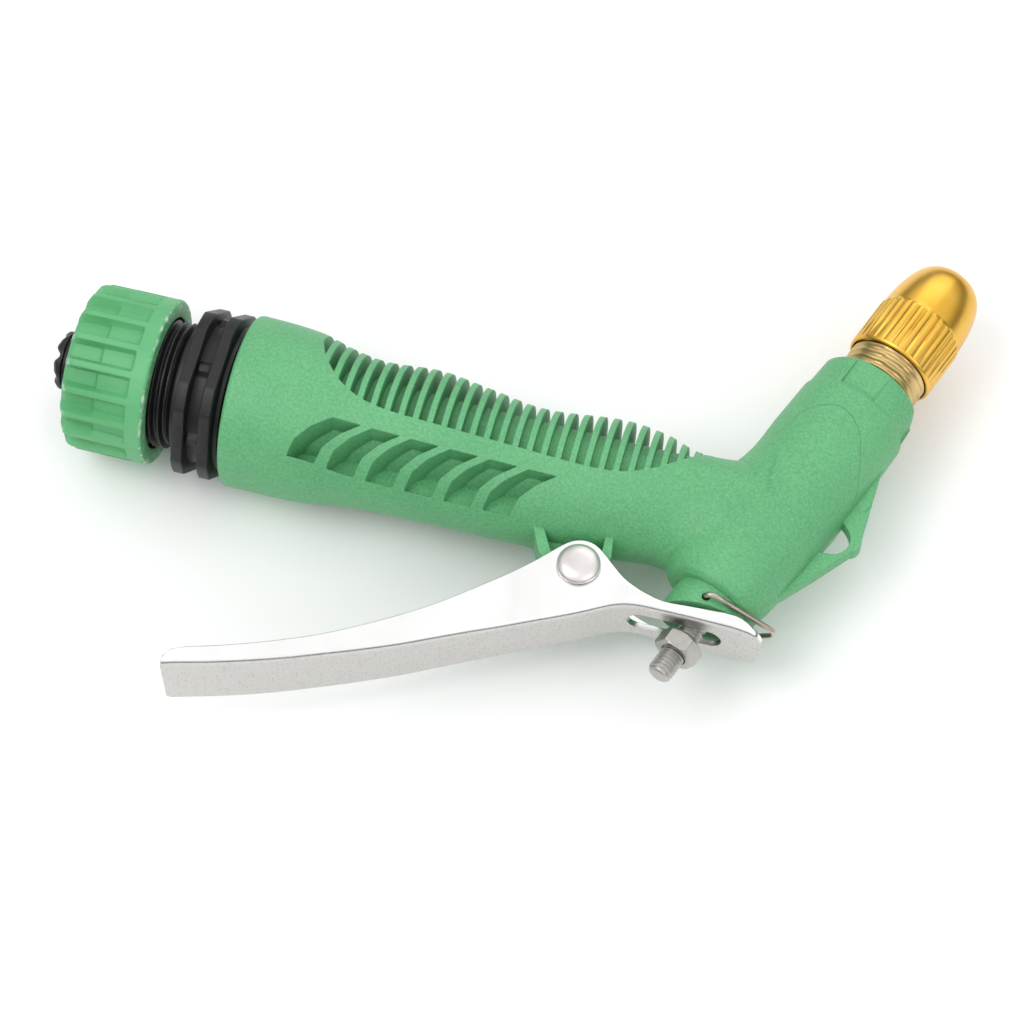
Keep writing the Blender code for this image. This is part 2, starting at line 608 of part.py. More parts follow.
def build():
    clear_scene()
    green = material("green_abs", GREEN, 0.45)
    black = material("black_nylon", BLACK, 0.4)
    gold = material("gold_anodised_aluminium", GOLD, 0.25, 1.0)
    steel = material("polished_steel", STEEL, 0.2, 1.0)
    rubber = material("seal_rubber", RUBBER, 0.8)

    place = (-PLAN_CENTRE[0], -PLAN_CENTRE[1], REST_HEIGHT)
    assembly = empty("assembly", location=place)
    along_x = Matrix.Rotation(math.radians(90), 4, "Y")
    inlet = empty("inlet_axis", assembly, turn=along_x)
    # Local Z runs up the barrel, local X across it, local Y out of the parting plane.
    in_plane = Matrix.Rotation(math.radians(BARREL_ANGLE), 4, "Z")
    lean = in_plane @ along_x @ Matrix.Rotation(math.radians(-90), 4, "Z")
    barrel = empty("barrel_axis", assembly, (*BARREL_FOOT, 0), lean)
    pivot = empty("lever_axis", assembly, (*PIVOT, 0))
    clip = empty("clip_axis", assembly, (*CLIP_HOLE, 0))

    body(assembly, barrel, green)
    inlet_adapter(inlet, black)
    coupling_nut(inlet, green)
    hose_tail(inlet, black)
    hose_collet(inlet, black)
    ring("inlet_washer", inlet, rubber, 6.4, 11.2, -11.1, -9.3)
    o_ring("adapter_o_ring", inlet, rubber, 11.0, 0.7, 19.8)
    nozzle_nipple(barrel, gold)
    o_ring("nipple_o_ring", barrel, rubber, 7.45, 0.6, 25.4)
    spray_cap(barrel, gold)
    o_ring("cap_o_ring", barrel, rubber, 6.2, 0.7, 53.2)
    valve_rod(barrel, steel)
    valve_cone(barrel, rubber)
    return_spring(barrel, steel)
    ring("spring_seat", barrel, steel, 2.55, 5.4, 13.8, 15.0)
    ring("gland_packing", barrel, rubber, 2.8, 4.7, -15.7, -11.4)
    ring("packing_ring", barrel, black, 2.8, 4.7, -11.1, -8.0)
    adjusting_nut(barrel, steel)
    lever(assembly, steel)
    pivot_rivet(pivot, steel)
    ring("rivet_washer", pivot, steel, 2.3, 4.0, -7.6, -6.95)
    ring("pivot_bush", pivot, black, 2.3, 2.7, -4.6, 4.6)
    wire_clip(clip, steel)


build()
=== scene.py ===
import math

import bmesh
import bpy
import numpy as np
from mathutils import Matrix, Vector


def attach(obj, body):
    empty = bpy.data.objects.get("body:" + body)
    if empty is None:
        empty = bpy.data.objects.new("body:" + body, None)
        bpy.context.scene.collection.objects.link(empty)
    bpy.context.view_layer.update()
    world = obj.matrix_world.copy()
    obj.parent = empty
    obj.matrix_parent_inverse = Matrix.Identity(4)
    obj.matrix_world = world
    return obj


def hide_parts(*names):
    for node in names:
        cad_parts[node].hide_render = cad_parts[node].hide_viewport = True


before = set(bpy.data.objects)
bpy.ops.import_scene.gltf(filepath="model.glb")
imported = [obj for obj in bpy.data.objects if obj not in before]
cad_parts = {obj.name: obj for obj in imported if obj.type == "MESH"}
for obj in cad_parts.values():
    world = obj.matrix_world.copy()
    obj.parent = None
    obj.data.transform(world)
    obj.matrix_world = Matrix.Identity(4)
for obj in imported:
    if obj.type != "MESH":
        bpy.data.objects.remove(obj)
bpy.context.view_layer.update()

# ------------------------------------------------------------------ moulded body
# The grip, barrel, wire boss, hanging tab and pivot lug are one body: two halves of green ABS
# with a fine spark-eroded grain, welded along the middle plane. Twenty-eight finger ribs stand
# over a plain core, and six slanted pockets on each side save plastic.

MM = 0.001
PLAN_TO_ROW = np.array([-65.8, -0.43, 17.46])
BARREL_FOOT = np.array([125.0, 0.0, 0.0])
BARREL_ANGLE = math.radians(69.4)
UP_BARREL = np.array([math.cos(BARREL_ANGLE), math.sin(BARREL_ANGLE), 0.0])
ACROSS_BARREL = np.array([math.sin(BARREL_ANGLE), -math.cos(BARREL_ANGLE), 0.0])
TURN = 2 * math.pi
GRIP_SIDE = [
    (15.8, 17.5), (24, 17.1), (32, 16.3), (45, 15.0), (60, 14.0), (76, 13.2), (92, 12.6),
    (125, 11.8),
]
GRIP_TOP = [
    (15.8, 17.5), (24, 17.2), (30, 16.5), (36, 14.6), (43, 13.5), (54, 14.6),
    (64, 13.1), (76, 11.2), (92, 13.1), (101, 11.9), (108, 9.2), (125, 9.0),
]
GRIP_UNDER = [
    (15.8, 17.5), (32, 17.7), (42, 16.4), (60, 16.2), (82, 16.3), (96, 15.0), (107, 13.6),
    (125, 11.8),
]
SCOOP_EDGE = [
    (28.0, 22.0), (29.6, 15.0), (31.0, 9.0), (34.0, 3.6), (38.5, -0.4), (45.0, -2.5),
    (57.0, -3.0), (72.0, -3.4), (87.0, -3.8), (94.0, -3.3), (99.0, -1.6), (104.0, 1.4),
    (109.4, 6.5), (112.5, 12.5), (113.0, 22.0),
]
CORE = [
    (28, 12.6, 10.3, 12.4), (40, 11.6, 9.6, 11.6), (76, 11.2, 8.4, 11.2), (116, 10.4, 8.2, 10.6),
]
BARREL_SECTIONS = [
    (-22.3, -0.8, 7.6), (-22.3, -0.8, 8.4), (-21.6, -0.9, 9.4), (-20.0, -0.9, 10.1),
    (-17.0, -0.8, 10.6), (-8.0, -0.4, 11.3), (4.0, -0.2, 11.8), (18.0, -0.1, 11.9),
    (28.3, 0.0, 11.6), (28.5, 0.0, 11.25), (35.0, 0.0, 10.9), (36.0, 0.0, 10.0),
]
RIB_COUNT, RIB_PITCH, RIB_THICKNESS, FIRST_RIB_X = 28, 2.885, 1.2, 30.0
POCKET_COUNT, POCKET_PITCH, POCKET_WIDTH = 6, 7.92, 5.9
PIVOT = np.array([90.9, -22.4])
CLIP_HOLE = np.array([116.3, -23.3])
TONGUE_EDGE = [
    (-7.7, 12.6), (-6.7, 18.4), (-5.1, 20.8), (-3.1, 22.4), (-0.8, 23.4), (2.3, 23.0),
    (5.2, 21.4), (7.6, 18.3), (10.5, 13.4), (11.9, 9.3), (12.3, 40.0),
]
PIVOT_HOLE_RADIUS, CLIP_HOLE_RADIUS = 3.0, 0.85
POCKET_FLOOR = 4.5
FILLET_REACH = 7.0


def through(stations, x):
    """Cubic pieces through (x, value, ...) rows, each slope taken from the two neighbours."""
    table = np.asarray(stations, float)
    xs, ys = table[:, 0], table[:, 1:]
    order = np.arange(len(xs))
    behind, ahead = np.maximum(order - 1, 0), np.minimum(order + 1, len(xs) - 1)
    slopes = (ys[ahead] - ys[behind]) / (xs[ahead] - xs[behind])[:, None]
    x = np.clip(x, xs[0], xs[-1])
    i = np.clip(np.searchsorted(xs, x, "right") - 1, 0, len(xs) - 2)
    width = (xs[i + 1] - xs[i])[:, None]
    t = (x - xs[i])[:, None] / width
    start = (2 * t**3 - 3 * t**2 + 1) * ys[i] + (t**3 - 2 * t**2 + t) * width * slopes[i]
    return start + (3 * t**2 - 2 * t**3) * ys[i + 1] + (t**3 - t**2) * width * slopes[i + 1]


def rounded(points, reach, steps=4, loop=False):
    """Each corner becomes a parabola that leaves and meets the sides `reach` from the corner."""
    points = np.asarray(points, float)
    behind, ahead = np.roll(points, 1, 0), np.roll(points, -1, 0)
    back, on = behind - points, ahead - points
    long_back = np.linalg.norm(back, axis=1, keepdims=True)
    long_on = np.linalg.norm(on, axis=1, keepdims=True)
    enter = points + back / long_back * np.minimum(reach, 0.45 * long_back)
    leave = points + on / long_on * np.minimum(reach, 0.45 * long_on)
    t = np.linspace(0, 1, steps)[None, :, None]
    enter, corner, leave = enter[:, None], points[:, None], leave[:, None]
    curve = (1 - t) ** 2 * enter + 2 * t * (1 - t) * corner + t**2 * leave
    if loop:
        return curve.reshape(-1, points.shape[1])
    inner = curve[1:-1].reshape(-1, points.shape[1])
    return np.concatenate([points[:1], inner, points[-1:]])


def round_line(centre, radius, start, end, steps):
    """Points on an arc, in degrees: centre plus radius times (cos, sin)."""
    angle = np.radians(np.linspace(start, end, steps))
    return np.asarray(centre) + radius * np.stack([np.cos(angle), np.sin(angle)], 1)


def solid(name, *grids, ring=False):
    """A closed skin over each grid of plan points.

    Columns close round; rows end in caps or, on a ring, close round too.
    """
    points, faces, count = [], [], 0
    for grid in grids:
        index = count + np.arange(grid.shape[0] * grid.shape[1]).reshape(grid.shape[:2])
        low = index if ring else index[:-1]
        high = np.roll(index, -1, 0) if ring else index[1:]
        quads = np.stack([low, np.roll(low, -1, 1), np.roll(high, -1, 1), high], -1)
        faces += quads.reshape(-1, 4).tolist()
        if not ring:
            faces += [index[0, ::-1].tolist(), index[-1].tolist()]
        points.append((grid.reshape(-1, 3) + PLAN_TO_ROW) * MM)
        count += index.size
    mesh = bpy.data.meshes.new(name)
    mesh.from_pydata(np.concatenate(points).tolist(), [], faces)
    work = bmesh.new()
    work.from_mesh(mesh)
    bmesh.ops.remove_doubles(work, verts=work.verts, dist=1e-7)
    bmesh.ops.recalc_face_normals(work, faces=work.faces)
    work.to_mesh(mesh)
    work.free()
    piece = bpy.data.objects.new(name, mesh)
    bpy.context.scene.collection.objects.link(piece)
    return piece


def carved(piece, *changes):
    """The piece after each (operation, other) Boolean in turn; the others are used up."""
    for operation, other in changes:
        change = piece.modifiers.new(operation.lower(), "BOOLEAN")
        change.operation = operation
        change.object = other
        change.solver = "EXACT"
    graph = bpy.context.evaluated_depsgraph_get()
    result = bpy.data.meshes.new_from_object(piece.evaluated_get(graph))
    piece.modifiers.clear()
    piece.data = result
    for _, other in changes:
        bpy.data.objects.remove(other, do_unlink=True)
    return piece


def shaded(piece, sharp_over=32):
    """Smooth shading that breaks at edges steeper than `sharp_over` degrees."""
    piece.data.shade_smooth()
    piece.data.set_sharp_from_angle(angle=math.radians(sharp_over))
    return piece


def prism(outline, low, high):
    """An outline in the plan carried from one height to the other."""
    outline = np.asarray(outline, float)
    flat = np.broadcast_to(outline, (2, *outline.shape))
    level = np.broadcast_to(np.array([low, high])[:, None, None], (2, len(outline), 1))
    return np.concatenate([flat, level], 2)


def on_barrel(grid):
    """(across, side, along) in the barrel's own axes, as plan points."""
    across, side, along = grid[..., 0:1], grid[..., 1:2], grid[..., 2:3]
    return BARREL_FOOT + across * ACROSS_BARREL - side * np.array([0, 0, 1.0]) + along * UP_BARREL


def on_inlet(grid):
    """(x, y, z) about the inlet's axis, z along the grip, as plan points."""
    return np.stack([grid[..., 2], grid[..., 1], -grid[..., 0]], -1)


def swept(radius, height, angle):
    """Points about Z: radius times (cos, sin) of the angle, at the height."""
    return np.stack([radius * np.cos(angle), radius * np.sin(angle), height + 0 * angle], -1)


def turned(profile, steps=96):
    """A (radius, height) profile turned about Z."""
    profile = np.asarray(profile, float)
    return swept(profile[:, :1], profile[:, 1:2], np.linspace(0, TURN, steps, endpoint=False))


def barrel_distance(points):
    """How far plan points lie outside the barrel: distance from its axis less its radius."""
    away = points - BARREL_FOOT
    along = away @ UP_BARREL
    radial = np.linalg.norm(away - along[..., None] * UP_BARREL, axis=-1)
    past_end = np.maximum(np.maximum(along - 26, -20 - along), 0)
    return radial - 11.5 + past_end


def grip_distance(points):
    """How far plan points lie outside the grip: its section's ellipse scaled, less one."""
    x = points[..., 0]
    side = np.interp(x, *np.array(GRIP_SIDE).T)
    over = np.interp(x, *np.array(GRIP_TOP).T)
    under = np.interp(x, *np.array(GRIP_UNDER).T)
    height = np.where(points[..., 1] > 0, over, under)
    scaled = np.hypot(points[..., 1] / height, points[..., 2] / side)
    return (scaled - 1) * height + 2 * np.maximum(x - 123, 0)


def filleted(grid, centre, distance):
    """Points pushed out by the square of their nearness to the other skin.

    Where the two skins run alike they are pushed less.
    """
    outward = grid - centre
    outward /= np.linalg.norm(outward, axis=-1, keepdims=True)
    near = np.clip(1 - np.abs(distance(grid)) / FILLET_REACH, 0, 1)
    across_skin = np.clip(1 - (distance(grid + 0.1 * outward) - distance(grid)) / 0.1, 0, 1)
    return grid + outward * (FILLET_REACH / 4 * near**2 * across_skin)[..., None]


around = np.linspace(0, TURN, 112, endpoint=False)
grip_x = np.concatenate([[15.8, 15.95, 16.3, 16.9], np.linspace(18, 122, 88)])
rim_round = np.interp(grip_x, [15.8, 15.95, 16.3, 16.9], [0.9, 0.5, 0.15, 0.0])[:, None]
tucked_in = 0.8 * np.clip((grip_x - 115) / 7, 0, 1)[:, None] ** 2
grip_side = through(GRIP_SIDE, grip_x) - rim_round - tucked_in
grip_over = through(GRIP_TOP, grip_x) - rim_round
grip_under = through(GRIP_UNDER, grip_x) - rim_round
grip_height = np.where(np.sin(around) >= 0, grip_over, grip_under)
grip_grid = np.stack(
    [grip_x[:, None] + 0 * around, grip_height * np.sin(around), grip_side * np.cos(around)], -1
)
grip_centre = grip_grid * np.array([1.0, 0.0, 0.0])
body = solid("moulded_body", filleted(grip_grid, grip_centre, barrel_distance))

rib_left = FIRST_RIB_X + np.arange(RIB_COUNT) * RIB_PITCH + RIB_THICKNESS / 2
slot_x = rib_left[:, None] + np.linspace(0, RIB_PITCH - RIB_THICKNESS, 5)
slot_floor = through(SCOOP_EDGE, slot_x.ravel()).reshape(slot_x.shape)
slots = []
for across, floor in zip(slot_x, slot_floor):
    outline = np.concatenate([np.stack([across, floor], 1), [(across[-1], 24), (across[0], 24)]])
    slots.append(prism(outline, -20, 20))

slant = np.array([(37.5, -6.75), (34.4, -9.4), (31.6, -12.1), (29.6, -14.95)])
slant[:, 0] -= 0.9 * np.sin(np.linspace(0, math.pi, 4))
pocket_outline = np.concatenate([slant, slant[::-1] + (POCKET_WIDTH, 0)])
pocket_outline = rounded(pocket_outline, 0.25, 3, loop=True)
pocket_middle = pocket_outline.mean(0)
pockets = []
for number in range(POCKET_COUNT):
    place = (number * POCKET_PITCH, -0.04 * number)
    for side in (-1, 1):
        mouth = prism(pocket_outline + place, *sorted((side * POCKET_FLOOR, side * 20.0)))
        floor_row = 0 if side > 0 else 1
        mouth[floor_row, :, :2] += (pocket_middle + place - mouth[floor_row, :, :2]) * 0.08
        pockets.append(mouth)

core_x = np.linspace(28, 116, 24)
core_side, core_over, core_under = through(CORE, core_x).T[:, :, None]
core_height = np.where(np.sin(around) >= 0, core_over, core_under)
core_grid = np.stack(
    [core_x[:, None] + 0 * around, core_height * np.sin(around), core_side * np.cos(around)], -1
)

sections = rounded(np.array(BARREL_SECTIONS), 0.3, 3)
fine_height = np.concatenate([sections[:-1], sections[1:]], 1).reshape(-1, 2, 3)
sections = np.concatenate(
    [np.linspace(low, high, max(2, int(abs(high[0] - low[0]) / 0.7)), endpoint=False)
     for low, high in fine_height] + [sections[-1:]]
)
barrel_local = turned(sections[:, [2, 0]], 112)
barrel_local[..., 0] += sections[:, 1:2]
barrel_grid = on_barrel(barrel_local)
barrel_centre = BARREL_FOOT + ((barrel_grid - BARREL_FOOT) @ UP_BARREL)[..., None] * UP_BARREL
barrel = solid("barrel", filleted(barrel_grid, barrel_centre, grip_distance))

flats = []
for quarter in range(4):
    outline = rounded([(9.8, -3.9), (13, -3.9), (13, 3.9), (9.8, 3.9)], 0.3, 3, loop=True)
    flat = prism(outline, 28.9, 38)
    angle = quarter * math.pi / 2
    flat_x = flat[..., 0] * math.cos(angle) - flat[..., 1] * math.sin(angle)
    flat_y = flat[..., 0] * math.sin(angle) + flat[..., 1] * math.cos(angle)
    flats.append(on_barrel(np.stack([flat_x, flat_y, flat[..., 2]], -1)))
carved(barrel, ("DIFFERENCE", solid("collar_flats", *flats)))

boss_profile = rounded([(0.5, -29.5), (7.2, -29.5), (7.7, -28.8), (7.7, -20.0), (0.5, -20.0)], 0.3)
boss = solid("wire_boss", on_barrel(turned(boss_profile, 64)))
below_boss = prism([(95, -40), (140, -40), (140, -24.9), (95, -24.9)], -15, 15)
carved(boss, ("DIFFERENCE", solid("below_boss", below_boss)))


def barrel_plate(outline, low, high):
    """An outline of (across, along) barrel points carried through the parting plane."""
    plate = prism(outline, low, high)
    return on_barrel(plate[..., [0, 2, 1]])


tab_outline = np.concatenate([
    [(9.0, 22.5), (11.6, 21.0), (16.2, 6.8)],
    round_line((14.6, 4.2), 2.6, 12, -52, 9),
    [(13.2, -6.3), (9.2, -16.5), (4.0, -14.0), (4.0, 20.0)],
])
tab = solid("hanging_tab", barrel_plate(tab_outline, -1.5, 1.5))
hole_arc = round_line((11.6, 2.8), 3.6, -62, 62, 20)
hole_outline = np.concatenate([[(10.6, -1.6)], hole_arc, [(10.6, 7.4)]])
carved(tab, ("DIFFERENCE", solid("tab_hole", barrel_plate(hole_outline, -3, 3))))

lug_outline = np.concatenate([
    [(78.4, -12.0), (82.6, -20.6)], round_line(PIVOT, 4.9, 190, 350, 30),
    [(96.3, -18.0), (95.6, -12.0)],
])
lug = solid("pivot_lug", prism(lug_outline, -4.6, 4.6))
hollow_outline = np.concatenate([
    [(81.0, -13.0), (84.6, -19.6)], round_line(PIVOT, 4.0, 145, 35, 12)[1:-1],
    [(94.4, -18.2), (94.2, -13.0)],
])
hollows = [prism(hollow_outline, *sorted((side * 1.2, side * 8.0))) for side in (-1, 1)]
carved(lug, ("DIFFERENCE", solid("lug_hollows", *hollows)))

socket = on_inlet(turned([
    (0.2, 10), (12.0, 10), (12.0, 25.0), (5.5, 28.5), (5.5, 123.0), (0.2, 123.0),
], 64))
chamber = on_barrel(turned([
    (0.2, -34), (2.8, -34), (2.8, -16.0), (5.0, -16.0), (5.0, -8.0), (6.0, -8.0), (6.0, 22.0),
    (8.3, 22.0), (8.3, 40.0), (0.2, 40.0),
], 64))
pivot_hole = prism(round_line(PIVOT, PIVOT_HOLE_RADIUS, 0, 360, 41)[:-1], -9, 9)
clip_ring = round_line(CLIP_HOLE, CLIP_HOLE_RADIUS, 0, 360, 25)[:-1]

carved(
    body,
    ("DIFFERENCE", solid("rib_slots", *slots)),
    ("DIFFERENCE", solid("side_pockets", *pockets)),
    ("UNION", solid("core", core_grid)),
    ("UNION", barrel),
    ("UNION", boss),
    ("UNION", tab),
    ("UNION", lug),
    ("DIFFERENCE", solid("inlet_socket", socket)),
    ("DIFFERENCE", solid("valve_chamber", chamber)),
    ("DIFFERENCE", solid("pivot_hole", pivot_hole)),
    ("DIFFERENCE", solid("clip_holes", prism(clip_ring, -12, -4.6), prism(clip_ring, 4.6, 12))),
)
shaded(body)


def plan_points(piece):
    """Every mesh point of a piece, back in plan millimetres."""
    corners = np.empty(len(piece.data.vertices) * 3)
    piece.data.vertices.foreach_get("co", corners)
    return corners.reshape(-1, 3) / MM - PLAN_TO_ROW


def carry(piece, name, values):
    """Gives each mesh point a number that the material reads."""
    piece.data.attributes.new(name, "FLOAT", "POINT").data.foreach_set("value", values)


# The body's halves leave a faint ledge on the barrel: how far each point lies under its edge.
skin = plan_points(body) - BARREL_FOOT
ledge_top = np.interp(skin @ ACROSS_BARREL, *np.array(TONGUE_EDGE).T)
carry(body, "under_ledge", np.clip(ledge_top - skin @ UP_BARREL, -2, 2))


class Number:
    """A shader value; + and * on it add Math nodes."""

    def __init__(self, finish, socket):
        self.finish, self.socket = finish, socket

    def maths(self, operation, other):
        node = self.finish.add("ShaderNodeMath", {"operation": operation}, {0: self, 1: other})
        return Number(self.finish, node.outputs[0])

    def __add__(self, other):
        return self.maths("ADD", other)

    def __mul__(self, other):
        return self.maths("MULTIPLY", other)

    def over(self, low, high):
        """0 below low, 1 above high, straight between."""
        sockets = {"Value": self, "From Min": low, "From Max": high}
        ramp = self.finish.add("ShaderNodeMapRange", {"clamp": True}, sockets)
        return Number(self.finish, ramp.outputs[0])

    __radd__ = __add__
    __rmul__ = __mul__


class Finish:
    """A material built up from nodes round one Principled shader."""

    def __init__(self, name, **constants):
        self.material = bpy.data.materials.new(name)
        self.material.use_nodes = True
        self.tree = self.material.node_tree
        self.shader = self.tree.nodes["Principled BSDF"]
        for socket, value in constants.items():
            self.shader.inputs[socket.replace("_", " ")].default_value = value

    def add(self, kind, settings=(), sockets=()):
        """Any node: its settings, then a value or a link for each named or numbered socket."""
        node = self.tree.nodes.new(kind)
        for setting, value in dict(settings).items():
            setattr(node, setting, value)
        for socket, value in dict(sockets).items():
            self.feed(node.inputs[socket], value)
        return node

    def feed(self, socket, value):
        if isinstance(value, Number):
            value = value.socket
        if isinstance(value, bpy.types.NodeSocket):
            self.tree.links.new(value, socket)
        else:
            socket.default_value = value

    def noise(self, scale, detail=2.0, distortion=0.0, stretch=(1, 1, 1)):
        """Noise over the piece's own coordinates; scale is features in each metre."""
        place = self.add("ShaderNodeTexCoord").outputs["Object"]
        mapped = self.add("ShaderNodeMapping", {}, {"Vector": place, "Scale": stretch})
        sockets = {"Vector": mapped.outputs[0], "Scale": scale}
        sockets |= {"Detail": detail, "Distortion": distortion}
        return Number(self, self.add("ShaderNodeTexNoise", {}, sockets).outputs["Fac"])

    def attribute(self, name):
        """A number that the piece's mesh carries."""
        carried = self.add("ShaderNodeAttribute", {"attribute_name": name})
        return Number(self, carried.outputs["Fac"])

    def blend(self, factor, first, second):
        """One colour or the other, by the factor."""
        sockets = {0: factor, 6: first, 7: second}
        return self.add("ShaderNodeMix", {"data_type": "RGBA"}, sockets).outputs[2]

    def height(self, value, distance, strength=1.0, edge=0.0):
        """Bump: distance is its full height in metres, edge the radius of rounded edges."""
        sockets = {"Height": value, "Distance": distance, "Strength": strength}
        if edge:
            soft = self.add("ShaderNodeBevel", {"samples": 6}, {"Radius": edge})
            sockets["Normal"] = soft.outputs[0]
        self.set("Normal", self.add("ShaderNodeBump", {}, sockets).outputs[0])

    def set(self, socket, value):
        self.feed(self.shader.inputs[socket], value)


def green_plastic(name, dark, light, grained=1.0, wear=None, ledge=None):
    """Green plastic: spark-eroded grain in the bump and colour, cloudy gloss, pale wear."""
    finish = Finish(name, IOR=1.5)
    grain = finish.noise(1900, 3.0)
    cloud = finish.noise(45, 3.0)
    fleck = grain * (0.7 * grained) + cloud * (1 - 0.7 * grained)
    colour = finish.blend(fleck.over(0.36, 0.64), dark, light)
    if wear:
        scuffed = finish.attribute(wear) * finish.noise(650, 4.0).over(0.5, 0.64)
        colour = finish.blend(scuffed, colour, (0.6, 0.74, 0.62, 1.0))
    finish.set("Base Color", colour)
    finish.set("Roughness", 0.4 + 0.14 * cloud + 0.08 * grain)
    relief = grain * (0.4 * grained)
    if ledge:
        relief = relief + finish.attribute(ledge).over(-0.15, 0.15)
    finish.height(relief, 0.00028, 0.75, 0.00028)
    return finish.material


body.data.materials.clear()
body.data.materials.append(
    green_plastic(
        "green grained plastic", (0.085, 0.335, 0.14, 1), (0.135, 0.44, 0.195, 1),
        ledge="under_ledge",
    )
)
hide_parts("body")
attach(body, "body")

# ------------------------------------------------------------------ threaded inlet
# A black glass-filled nylon adapter, pushed into the body's bell with an O-ring. Its two
# hexagonal flanges give a spanner hold and stiffening ribs join them; the free end carries
# an outside pipe thread.

THREAD_PITCH, THREAD_CREST, THREAD_ROOT = 1.814, 12.95, 11.8
FLANGE_FLAT, FLANGE_CORNER = 16.4, 17.55


def within(height, low, high, lead_in, lead_out):
    """1 between low and high, falling straight to 0 over the lead at each end."""
    return np.clip((height - low) / lead_in, 0, 1) * np.clip((high - height) / lead_out, 0, 1)


def thread_wave(height, angle, pitch):
    """A helix in section: a flat crest between sloping flanks, one pitch for each turn."""
    phase = np.mod(height / pitch - angle / TURN, 1)
    return np.clip(1.9 * (1 - np.abs(2 * phase - 1)) - 0.45, 0, 1)


inlet_angle = np.linspace(0, TURN, 240, endpoint=False)
thread_height = np.linspace(-8.4, 4.3, 130)[:, None]
fade = within(thread_height, -8.4, 4.3, 0.7, 1.0)
wave = thread_wave(thread_height, inlet_angle, THREAD_PITCH)
thread_radius = THREAD_ROOT + (THREAD_CREST - THREAD_ROOT) * wave * fade
from_flat = np.mod(np.degrees(inlet_angle) + 25, 60) - 30
hexagon = np.minimum(FLANGE_FLAT / np.cos(np.radians(from_flat)), FLANGE_CORNER)
near_rib = np.abs(np.mod(np.degrees(inlet_angle) - 11 + 30, 60) - 30)
rib = np.clip(1.6 - near_rib / 4.0, 0, 1)
# Each row is radius, height, how far it follows the hexagon and how far it follows the ribs.
front_rows = rounded([
    (11.8, 4.4, 0, 0), (13.0, 4.6, 0, 0), (13.0, 6.2, 0, 0), (14.6, 6.25, 1, 0), (14.6, 8.6, 1, 0),
    (14.3, 8.65, 0, 0), (14.3, 8.9, 0, 1), (14.3, 11.3, 0, 1), (14.3, 11.45, 0, 0),
    (14.6, 11.5, 1, 0), (14.6, 13.9, 1, 0), (14.4, 14.0, 0, 0), (14.4, 15.0, 0, 0),
    (11.7, 15.0, 0, 0), (11.7, 18.6, 0, 0), (10.2, 18.6, 0, 0), (10.2, 21.0, 0, 0),
    (11.7, 21.0, 0, 0), (11.7, 24.0, 0, 0), (6.0, 24.0, 0, 0), (6.0, -9.0, 0, 0),
    (11.6, -9.0, 0, 0), (11.8, -8.6, 0, 0),
], 0.22, 3)
front_radius = front_rows[:, :1] + front_rows[:, 2:3] * (hexagon - front_rows[:, :1])
front_radius = front_radius + front_rows[:, 3:4] * rib
radius = np.concatenate([thread_radius, front_radius])
height = np.concatenate([thread_height, front_rows[:, 1:2]])
adapter_local = swept(radius, height, inlet_angle)
adapter = shaded(solid("inlet_adapter_nylon", on_inlet(adapter_local), ring=True))


def black_nylon(name):
    """Black nylon: nearly even colour, soft clouds in the gloss, flow marks and dust."""
    finish = Finish(name, IOR=1.45)
    cloud = finish.noise(160, 4.0)
    dust = finish.noise(1500, 5.0).over(0.62, 0.8)
    colour = finish.blend(dust * 0.4, (0.008, 0.008, 0.009, 1), (0.06, 0.06, 0.062, 1))
    finish.set("Base Color", colour)
    finish.set("Roughness", 0.34 + 0.2 * cloud)
    finish.height(cloud * 0.7 + finish.noise(1800, 2.0) * 0.3, 0.00008, 0.5, 0.0002)
    return finish.material


nylon = black_nylon("black nylon")
adapter.data.materials.append(nylon)
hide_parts("inlet_adapter")
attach(adapter, "body")

# ------------------------------------------------------------------ hose tail and collet
# The barbed spigot that the hose is pushed on sits loose in the nut, its flange on a rubber
# washer; its free end keeps the ragged edge of the moulding gate. A split collet grips the hose.

tail_profile = rounded([
    (3.6, -22.4), (5.3, -22.4), (6.0, -21.6), (6.0, -20.6), (5.5, -20.4), (6.0, -18.6),
    (5.5, -18.4), (6.0, -16.6), (5.6, -16.4), (5.6, -13.2), (11.2, -13.2), (11.2, -11.4),
    (3.6, -11.4),
], 0.3, 4)
tail_local = turned(tail_profile, 96)
tail_angle = np.linspace(0, TURN, 96, endpoint=False)
ragged = np.sin(3 * tail_angle + 0.6) + 0.7 * np.sin(7 * tail_angle + 2.0)
ragged += 0.4 * np.sin(13 * tail_angle)
near_end = np.clip((-20.4 - tail_local[..., 2]) / 2, 0, 1)
shrink = 1 - 0.022 * near_end * (1.2 + ragged)
tail_local[..., :2] *= shrink[..., None]
tail_local[..., 2] += 0.22 * near_end * (ragged + 1.2)
gate_scar = np.exp(-((np.degrees(tail_angle) - 200) / 13) ** 2)
tail_local[..., 2] += 0.7 * near_end * gate_scar
tail = shaded(solid("hose_tail_nylon", on_inlet(tail_local), ring=True))
tail.data.materials.append(nylon)
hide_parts("hose_tail")
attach(tail, "body")

for name in ("hose_collet", "packing_ring", "pivot_bush"):
    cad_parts[name].data.materials.clear()
    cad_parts[name].data.materials.append(nylon)

# ------------------------------------------------------------------ coupling nut
# The green screw nut closes the collet on the hose as it is turned up the adapter's thread.
# Nineteen finger ribs run along it; the grooves between them step shallower halfway, and the
# rims and rib ends are scuffed pale.

NUT_RIBS = 19
nut_angle = np.linspace(0, TURN, NUT_RIBS * 18, endpoint=False)
rib_phase = np.mod(nut_angle * NUT_RIBS / TURN, 1)
rib_shape = np.clip((np.cos(TURN * rib_phase) - 0.3) / 0.5, 0, 1)
rib_shape = rib_shape * rib_shape * (3 - 2 * rib_shape)
